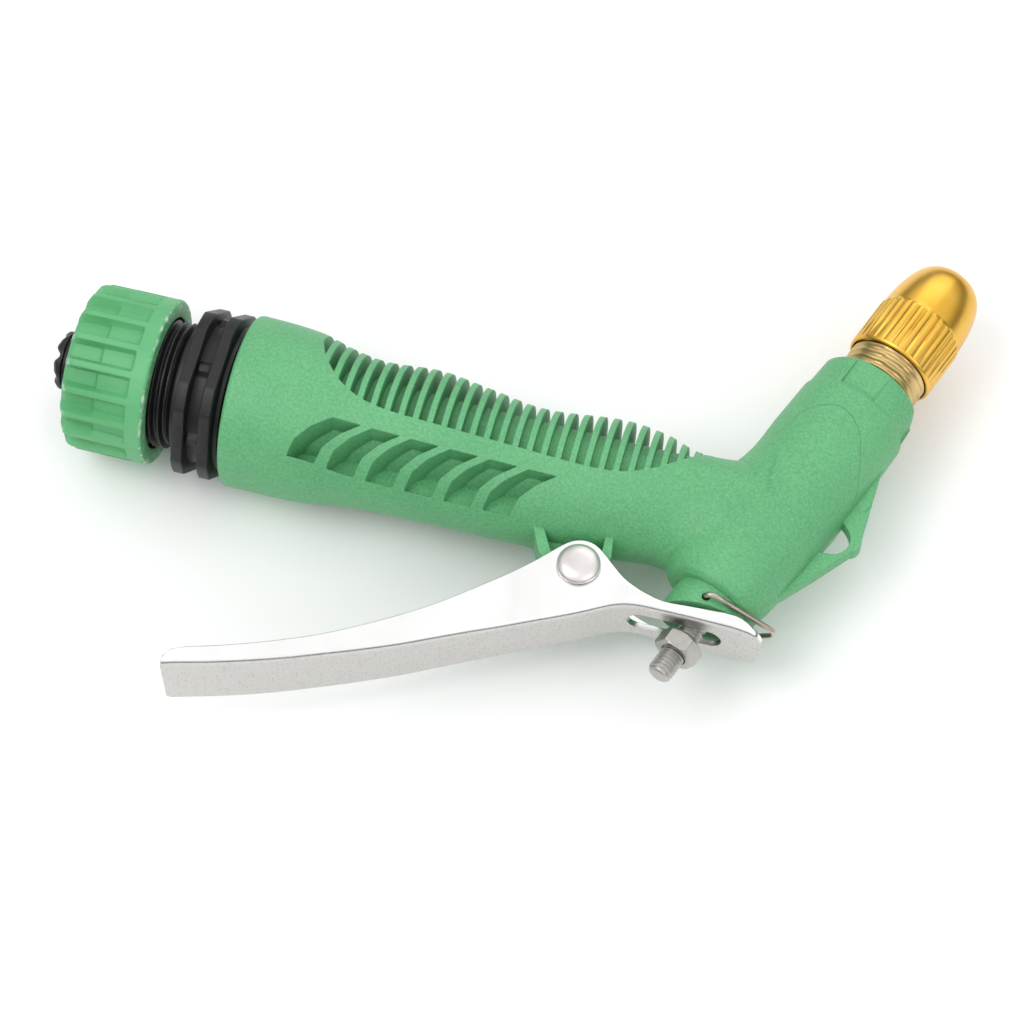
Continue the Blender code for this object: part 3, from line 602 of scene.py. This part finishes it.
# Each row is crest radius, groove radius and height.
nut_rows = rounded([
    (10.6, 10.6, -17.6), (13.8, 13.6, -17.6), (15.0, 14.0, -17.3), (16.6, 14.6, -16.4),
    (17.0, 14.7, -15.4), (17.0, 14.8, -10.6), (17.05, 15.5, -10.2), (17.0, 15.7, -3.8),
    (17.0, 16.9, -3.4), (17.0, 17.0, -0.5), (16.6, 16.6, 0.0), (13.5, 13.5, 0.0),
    (13.5, 13.5, -13.8), (10.6, 10.6, -15.6),
], 0.25, 4, loop=True)
nut_radius = nut_rows[:, 1:2] + (nut_rows[:, :1] - nut_rows[:, 1:2]) * rib_shape
nut_local = swept(nut_radius, nut_rows[:, 2:3], nut_angle)
nut = shaded(solid("coupling_nut_plastic", on_inlet(nut_local), ring=True))
skin = plan_points(nut)
from_axis = np.hypot(skin[:, 1], skin[:, 2])
right_rim = np.exp(-((skin[:, 0] + 0.15) / 0.25) ** 2)
rib_ends = 0.55 * np.exp(-((skin[:, 0] + 16.5) / 0.5) ** 2)
carry(nut, "worn", (right_rim + rib_ends) * (from_axis > 15.9))
nut.data.materials.append(
    green_plastic(
        "green nut plastic", (0.095, 0.38, 0.155, 1), (0.13, 0.46, 0.195, 1), 0.25, wear="worn"
    )
)
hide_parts("coupling_nut")
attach(nut, "hose_nut")

# ------------------------------------------------------------------ seals
# Washers, O-rings, the rod's packing and the soft valve cone are black rubber, all held inside
# the adapter, barrel and cap.


def seal_rubber():
    """Matte black rubber with a bloom of grey and a fine skin."""
    finish = Finish("seal rubber", Roughness=0.7)
    bloom = finish.noise(400, 4.0)
    colour = finish.blend(bloom, (0.015, 0.015, 0.015, 1), (0.035, 0.035, 0.034, 1))
    finish.set("Base Color", colour)
    finish.set("Roughness", 0.6 + 0.25 * bloom)
    finish.height(finish.noise(3000, 2.0), 0.00003, 0.4)
    return finish.material


rubber = seal_rubber()
for name in (
    "inlet_washer", "adapter_o_ring", "nipple_o_ring", "cap_o_ring", "gland_packing", "valve_cone",
):
    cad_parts[name].data.materials.clear()
    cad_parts[name].data.materials.append(rubber)

# ------------------------------------------------------------------ nozzle nipple
# The turned aluminium tube, anodised a pale gold, is held in the barrel's mouth. The cap runs
# on its outside thread and its inner cone is the valve's seat.

CAP_PITCH, NIPPLE_ROOT, NIPPLE_CREST = 1.6, 7.95, 8.45
nipple_angle = np.linspace(0, TURN, 128, endpoint=False)
nipple_height = np.linspace(36.4, 50.6, 110)[:, None]
nipple_wave = thread_wave(nipple_height, nipple_angle, CAP_PITCH)
nipple_wave = nipple_wave * within(nipple_height, 36.4, 50.6, 0.6, 0.8)
nipple_thread = NIPPLE_ROOT + (NIPPLE_CREST - NIPPLE_ROOT) * nipple_wave
nipple_rows = rounded([
    (7.95, 50.8), (7.6, 52.0), (3.0, 52.0), (3.0, 36.0), (5.5, 32.0), (5.5, 22.4), (7.9, 22.4),
    (7.9, 24.4), (6.7, 24.4), (6.7, 26.4), (7.9, 26.4), (7.95, 36.2),
], 0.15, 3)
nipple_radius = np.concatenate([nipple_thread, nipple_rows[:, :1] + 0 * nipple_angle])
nipple_along = np.concatenate([nipple_height, nipple_rows[:, 1:]])
nipple_local = swept(nipple_radius, nipple_along, nipple_angle)
nipple = shaded(solid("nozzle_nipple_metal", on_barrel(nipple_local), ring=True))


def bright_metal(name, dark, light, rough, rough_spread, scratch=0.3, edge=0.0):
    """Bright metal: cloudy colour, streaks and small pits that break up the reflection."""
    finish = Finish(name, Metallic=1.0)
    cloud = finish.noise(90, 4.0, 0.3)
    streak = finish.noise(500, 4.0, 0.2, (1.0, 0.25, 1.0))
    finish.set("Base Color", finish.blend(cloud.over(0.3, 0.7), dark, light))
    finish.set("Roughness", rough + rough_spread * (0.6 * cloud + 0.4 * streak))
    finish.height(streak * 0.6 + finish.noise(1600, 3.0) * 0.4, 0.00002, scratch, edge)
    return finish.material


nipple.data.materials.append(
    bright_metal(
        "champagne anodised", (0.52, 0.37, 0.16, 1), (0.76, 0.57, 0.27, 1), 0.22, 0.22, 0.6
    )
)
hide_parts("nozzle_nipple")
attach(nipple, "body")

# ------------------------------------------------------------------ spray cap
# The gold anodised cap screws up and down the nipple to change the jet. Its skirt is rolled
# with broad, slightly uneven flutes, and its bullet-shaped nose ends in the spray hole.

FLUTES = 32
cap_angle = np.linspace(0, TURN, FLUTES * 12, endpoint=False)
nose = through([
    (0, 9.1, 54.35), (1, 9.05, 56.0), (2, 8.9, 57.9), (3, 8.65, 59.8), (4, 8.25, 61.7),
    (5, 7.7, 63.5), (6, 7.0, 65.0), (7, 6.0, 66.3), (8, 4.8, 67.15), (9, 3.5, 67.55),
], np.linspace(0, 9, 46))
skirt = rounded([
    (8.75, 42.3), (9.05, 42.3), (9.35, 42.75), (9.4, 48.0), (9.4, 53.5), (9.1, 54.2),
], 0.2, 4)
bore = rounded([
    (3.0, 67.65), (1.3, 67.65), (1.3, 64.5), (7.0, 55.5), (8.75, 54.0), (8.75, 42.6),
], 0.2, 4)
cap_rows = np.concatenate([skirt, nose, bore])
on_skirt = within(cap_rows[:, 1], 42.8, 53.8, 0.5, 0.7) * (cap_rows[:, 0] > 9.0)
flute_depth = on_skirt[:, None]
uneven = 0.8 + 0.2 * np.sin(5 * cap_angle + 1.0) + 0.15 * np.sin(11 * cap_angle)
flute = (0.5 - 0.5 * np.cos(FLUTES * cap_angle + 0.5 * np.sin(4 * cap_angle))) ** 2.5 * uneven
cap_radius = cap_rows[:, :1] - 0.5 * flute_depth * flute
cap_local = swept(cap_radius, cap_rows[:, 1:], cap_angle)
cap = shaded(solid("spray_cap_metal", on_barrel(cap_local), ring=True), 40)
cap.data.materials.append(
    bright_metal("gold anodised", (0.72, 0.4, 0.045, 1), (0.84, 0.52, 0.1, 1), 0.22, 0.16)
)
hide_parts("spray_cap")
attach(cap, "cap")

# ------------------------------------------------------------------ valve rod, spring and hex nut
# The zinc-plated rod runs through the packing to the soft cone, pushed home by a coil spring.
# Its lower end is threaded for the hexagon nut that the lever pushes on.

ROD_PITCH, ROD_ROOT, ROD_CREST = 0.8, 2.15, 2.5
rod_angle = np.linspace(0, TURN, 64, endpoint=False)
rod_height = np.linspace(-40.6, -28.4, 150)[:, None]
rod_wave = thread_wave(rod_height, rod_angle, ROD_PITCH)
rod_wave = rod_wave * within(rod_height, -40.6, -28.4, 0.5, 0.6)
rod_thread = ROD_ROOT + (ROD_CREST - ROD_ROOT) * rod_wave
rod_low = rounded([(0.3, -41.0), (1.75, -41.0), (ROD_ROOT, -40.65)], 0.15, 3)
rod_high = rounded([
    (2.2, -28.3), (2.5, -28.0), (2.5, 26.0), (1.6, 26.0), (1.6, 34.0), (0.3, 34.0),
], 0.15, 3)
rod_radius = np.concatenate([
    rod_low[:, :1] + 0 * rod_angle, rod_thread, rod_high[:, :1] + 0 * rod_angle,
])
rod_along = np.concatenate([rod_low[:, 1:], rod_height, rod_high[:, 1:]])
rod_local = swept(rod_radius, rod_along, rod_angle)
rod = shaded(solid("valve_rod_metal", on_barrel(rod_local)), 40)
zinc = bright_metal(
    "zinc plate", (0.34, 0.335, 0.31, 1), (0.58, 0.57, 0.54, 1), 0.25, 0.25, 0.6, edge=0.00015
)
rod.data.materials.append(zinc)
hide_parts("valve_rod")
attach(rod, "valve")

hex_angle = np.linspace(0, TURN, 144, endpoint=False) + TURN / 12
hex_wall = 4.0 / np.cos(np.radians(np.mod(np.degrees(hex_angle) - 30 + 30, 60) - 30))
# Each row is height and the radius that the chamfer turns the corners down to.
hex_rows = np.array([
    (-35.6, 3.75), (-35.55, 4.05), (-35.3, 4.4), (-35.05, 4.7), (-34.0, 5.0), (-32.55, 4.7),
    (-32.3, 4.4), (-32.05, 4.05), (-32.0, 3.75),
])
hex_outer = np.minimum(hex_wall, hex_rows[:, 1:])
hex_inner = np.array([(-32.0, 2.8), (-32.3, 2.55), (-35.3, 2.55), (-35.6, 2.8)])
hex_radius = np.concatenate([hex_outer, hex_inner[:, 1:] + 0 * hex_angle])
hex_local = swept(hex_radius, np.concatenate([hex_rows[:, :1], hex_inner[:, :1]]), hex_angle)
hex_nut = shaded(solid("adjusting_nut_metal", on_barrel(hex_local), ring=True), 30)
hex_nut.data.materials.append(zinc)
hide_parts("adjusting_nut")
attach(hex_nut, "rod_nut")

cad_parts["spring_seat"].data.materials.clear()
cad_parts["spring_seat"].data.materials.append(zinc)
wire_steel = bright_metal("drawn wire", (0.36, 0.31, 0.25, 1), (0.6, 0.55, 0.47, 1), 0.22, 0.2, 0.6)
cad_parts["return_spring"].data.materials.clear()
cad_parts["return_spring"].data.materials.append(wire_steel)

# ------------------------------------------------------------------ trigger lever
# One steel strip pressed into a channel and plated bright: a long bowed hand arm, two ears
# round the pivot and a slotted front arm over the rod. The web is rougher and pitted, and its
# colour is painted a darker grey than the cheeks as painted shade; the slot's edge is rolled.

LEVER_STATIONS = [
    (19.2, -63.4, -61.6, 8.0), (20.2, -63.2, -60.2, 8.4), (22.6, -62.5, -58.9, 8.4),
    (28.0, -61.0, -57.2, 8.3), (35.0, -58.8, -54.7, 8.2), (42.0, -56.3, -51.8, 8.0),
    (48.0, -53.9, -49.0, 7.9), (55.0, -51.0, -45.0, 7.7), (62.0, -47.9, -40.6, 7.5),
    (68.0, -44.9, -36.2, 7.3), (74.0, -41.9, -31.2, 7.1), (79.0, -39.5, -26.8, 6.9),
    (83.0, -37.5, -22.9, 6.8), (86.6, -35.7, -19.0, 6.7), (88.6, -34.7, -17.3, 6.6),
    (91.0, -33.5, -16.7, 6.6), (93.2, -32.4, -17.2, 6.6), (95.4, -31.2, -18.8, 6.6),
    (97.4, -30.1, -20.6, 6.7), (99.6, -29.0, -22.4, 6.7), (101.8, -28.3, -23.7, 6.8),
    (104.4, -28.0, -24.8, 6.9), (108.4, -28.0, -25.8, 7.0), (114.0, -28.1, -25.7, 7.2),
    (120.0, -28.3, -25.5, 7.4), (123.0, -28.4, -25.7, 7.4), (125.2, -28.5, -26.3, 7.0),
    (126.8, -28.5, -27.0, 6.2), (127.8, -28.5, -27.2, 5.2), (128.5, -28.5, -27.3, 3.8),
]
LEVER_SHEET, EYE_RADIUS, SLOT_HALF_WIDTH = 1.2, 2.3, 2.9
lever_x = np.concatenate([
    np.linspace(19.2, 23, 9), np.linspace(23.8, 122, 130), np.linspace(122.5, 128.5, 24),
])
web, rim, half = through(LEVER_STATIONS, lever_x).T
bend = np.clip(rim - web - 0.2, 0.2, 1.7)
floor = web + LEVER_SHEET
rim = np.maximum(rim, floor + 0.05)
quarter = np.linspace(0, math.pi / 2, 7)
# Down the near cheek, round the bend, across the web, and back up inside the sheet.
cheek_y = np.stack([rim - 0.25, rim * 0.5 + (web + bend) * 0.5, web + bend + 0.15], 1)
cheek_z = np.stack([half, half, half], 1)
bend_y = (web + bend)[:, None] - bend[:, None] * np.sin(quarter)
bend_z = (half - bend)[:, None] + bend[:, None] * np.cos(quarter)
web_z = np.stack([half - bend - 0.15, half * 0.55, half * 0.2], 1)
web_y = np.repeat(web[:, None], 3, 1)
inner = half - LEVER_SHEET
inner_y = np.stack([floor, floor + 0.35 * (rim - floor), rim], 1)
inner_z = np.stack([inner - 0.02, inner, inner], 1)
rim_y, rim_z = rim[:, None], (half - 0.25)[:, None]
near_y = np.concatenate([rim_y, cheek_y, bend_y, web_y], 1)
near_z = np.concatenate([rim_z, cheek_z, bend_z, web_z], 1)
section_y = np.concatenate([near_y, near_y[:, ::-1], inner_y[:, ::-1], inner_y], 1)
section_z = np.concatenate([near_z, -near_z[:, ::-1], -inner_z[:, ::-1], inner_z], 1)
lever_grid = np.stack([lever_x[:, None] + 0 * section_y, section_y, section_z], -1)
lever = solid("trigger_lever_steel", lever_grid)
slot_outline = np.concatenate([
    round_line((117.9, 0), SLOT_HALF_WIDTH, -90, 90, 20),
    round_line((105.0, 0), SLOT_HALF_WIDTH, 90, 270, 20),
])
slot_grid = prism(slot_outline, -31, -26)[..., [0, 2, 1]]
eyes = prism(round_line(PIVOT, EYE_RADIUS, 0, 360, 41)[:-1], -12, 12)
carved(
    lever,
    ("DIFFERENCE", solid("lever_eyes", eyes)),
    ("DIFFERENCE", solid("lever_slot", slot_grid)),
)
shaded(lever, 40)
skin = plan_points(lever)
web_here = np.interp(skin[:, 0], lever_x, web)
# Marks the web, whose colour is darkened to grey below as painted shade.
carry(lever, "web", np.clip((web_here + 0.5 - skin[:, 1]) / 0.4, 0, 1))


def pressed_steel():
    """Bright plate: clear cheeks, a rougher web with pits and a darker grey painted shade, rolling
    streaks along the arm.
    """
    finish = Finish("plated pressed steel", Metallic=1.0)
    painted_shade_web = finish.attribute("web")
    cloud = finish.noise(60, 4.0, 0.4)
    pits = finish.noise(2400, 3.0).over(0.55, 0.72)
    streak = finish.noise(260, 5.0, 0.2, (0.12, 1.0, 1.0))
    clear = finish.blend(cloud.over(0.35, 0.65), (0.88, 0.875, 0.87, 1), (0.95, 0.945, 0.94, 1))
    # Painted shade: the web gets a darker grey than the cheeks, with pits mixed in.
    painted_shade_grey = finish.blend(pits, (0.6, 0.59, 0.57, 1), (0.44, 0.43, 0.4, 1))
    finish.set("Base Color", finish.blend(painted_shade_web, clear, painted_shade_grey))
    finish.set("Roughness", 0.1 + 0.1 * streak + painted_shade_web * (0.22 + 0.12 * pits))
    finish.height(streak * 0.5 + pits * 0.5, 0.00003, 0.35, 0.00025)
    return finish.material


lever.data.materials.clear()
lever.data.materials.append(pressed_steel())
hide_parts("lever")
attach(lever, "trigger")

# ------------------------------------------------------------------ pivot rivet and washer
# The lever turns on a plated rivet through the lug, closed over a washer on the far side. Its
# head is a low dome with a faint flat left by the setting tool.

rivet_profile = rounded([
    (0.15, -8.7), (2.3, -8.5), (3.2, -7.8), (2.0, -7.8), (2.0, 6.9), (4.25, 6.9), (4.35, 7.2),
    (4.1, 7.75), (3.4, 8.25), (2.6, 8.55), (1.9, 8.68), (0.15, 8.72),
], 0.25, 4)
rivet_local = turned(rivet_profile, 72)
rivet_local[..., :2] += PIVOT
rivet = shaded(solid("pivot_rivet_steel", rivet_local), 45)
rivet.data.materials.append(
    bright_metal("rivet plate", (0.6, 0.56, 0.55, 1), (0.86, 0.83, 0.82, 1), 0.28, 0.25, 1.0)
)
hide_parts("pivot_rivet")
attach(rivet, "body")
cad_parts["rivet_washer"].data.materials.clear()
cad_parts["rivet_washer"].data.materials.append(zinc)

# ------------------------------------------------------------------ wire clip
# A bent spring-wire bail whose two ends hook into the boss. It swings under the lever's front
# arm and props it, so that the valve stays open with no hand on the lever.

WIRE_RADIUS = 0.55
half_path = np.array([
    (0, 0, 5.2), (0, 0, 7.9), (0.35, 0, 8.7), (1.3, -0.05, 8.9), (2.6, -0.2, 8.6), (4.2, -0.3, 7.5),
    (8.0, -0.45, 4.9), (11.8, -0.6, 2.3), (13.1, -0.65, 1.4), (13.8, -0.7, 0.6),
])
path = np.concatenate([half_path, half_path[::-1] * (1, 1, -1)])
reach = np.concatenate([[0], np.cumsum(np.linalg.norm(np.diff(path, axis=0), axis=1))])
path = through(np.column_stack([reach, path]), np.linspace(0, reach[-1], 150))
tangent = np.gradient(path, axis=0)
tangent /= np.linalg.norm(tangent, axis=1, keepdims=True)
# The path lies almost in one plane, so that plane's normal carries the round section.
normal = np.cross(tangent, np.array([0.0, 1.0, 0.0]))
normal /= np.linalg.norm(normal, axis=1, keepdims=True)
binormal = np.cross(tangent, normal)
wire_angle = np.linspace(0, TURN, 16, endpoint=False)[None, :, None]
wire_grid = path[:, None] + WIRE_RADIUS * (
    np.cos(wire_angle) * normal[:, None] + np.sin(wire_angle) * binormal[:, None]
)
wire_grid[..., :2] += CLIP_HOLE
clip = shaded(solid("wire_clip_steel", wire_grid), 60)
clip.data.materials.append(wire_steel)
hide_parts("wire_clip")
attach(clip, "clip")

# ------------------------------------------------------------------ floor, light and camera
# A flat pale floor, a room that is bright overhead and dark at the horizon, and three large
# soft lamps; the camera looks down on the lever side with a long lens.

FLOOR_STEPS = 21
floor_line = np.linspace(-2, 2, FLOOR_STEPS)
floor_x, floor_y = np.meshgrid(floor_line, floor_line)
floor_mesh = bpy.data.meshes.new("studio_floor")
floor_index = np.arange(FLOOR_STEPS**2).reshape(FLOOR_STEPS, FLOOR_STEPS)
floor_faces = np.stack(
    [floor_index[:-1, :-1], floor_index[:-1, 1:], floor_index[1:, 1:], floor_index[1:, :-1]], -1
)
floor_points = np.stack([floor_x, floor_y, 0 * floor_x - 0.0002], -1).reshape(-1, 3)
floor_mesh.from_pydata(floor_points.tolist(), [], floor_faces.reshape(-1, 4).tolist())
studio_floor = bpy.data.objects.new("studio_floor", floor_mesh)
bpy.context.scene.collection.objects.link(studio_floor)
pale = Finish("pale floor", Base_Color=(0.93, 0.93, 0.93, 1), Roughness=0.9)
pale.shader.inputs["Specular IOR Level"].default_value = 0.1
floor_mesh.materials.append(pale.material)

room = bpy.data.worlds.new("bright room")
bpy.context.scene.world = room
room.use_nodes = True
nodes, links = room.node_tree.nodes, room.node_tree.links
direction = nodes.new("ShaderNodeTexCoord").outputs["Generated"]
upward = nodes.new("ShaderNodeSeparateXYZ")
links.new(direction, upward.inputs[0])
brightness = nodes.new("ShaderNodeMapRange")
links.new(upward.outputs["Z"], brightness.inputs["Value"])
brightness.interpolation_type = "SMOOTHSTEP"
for socket, value in {"From Min": 0.12, "From Max": 0.58, "To Min": 0.13, "To Max": 1.08}.items():
    brightness.inputs[socket].default_value = value
links.new(brightness.outputs[0], nodes["Background"].inputs["Strength"])
nodes["Background"].inputs["Color"].default_value = (1.0, 1.0, 1.0, 1.0)


def soft_lamp(name, place, aim, size, power):
    """A square area lamp turned to face a point."""
    lamp = bpy.data.lights.new(name, "AREA")
    lamp.size, lamp.energy = size, power
    lit = bpy.data.objects.new(name, lamp)
    lit.location = place
    lit.rotation_euler = (Vector(aim) - Vector(place)).to_track_quat("-Z", "Y").to_euler()
    bpy.context.scene.collection.objects.link(lit)


soft_lamp("key_lamp", (-0.35, -0.25, 0.75), (0, 0, 0.02), 0.45, 2.0)
soft_lamp("fill_lamp", (0.65, -0.35, 0.55), (0, 0, 0.02), 0.5, 1.0)
soft_lamp("back_lamp", (0.1, 0.7, 0.5), (0, 0, 0.02), 0.6, 1.0)

camera_data = bpy.data.cameras.new("camera")
camera_data.lens, camera_data.sensor_width = 114.69, 36.0
camera = bpy.data.objects.new("camera", camera_data)
camera.location = (0.0850, -0.3037, 0.58458)
camera.rotation_euler = (
    (Vector((0.00883, -0.01138, 0.01746)) - camera.location).to_track_quat("-Z", "Y").to_euler()
)
bpy.context.scene.collection.objects.link(camera)
bpy.context.scene.camera = camera
bpy.context.scene.view_settings.view_transform = "Standard"
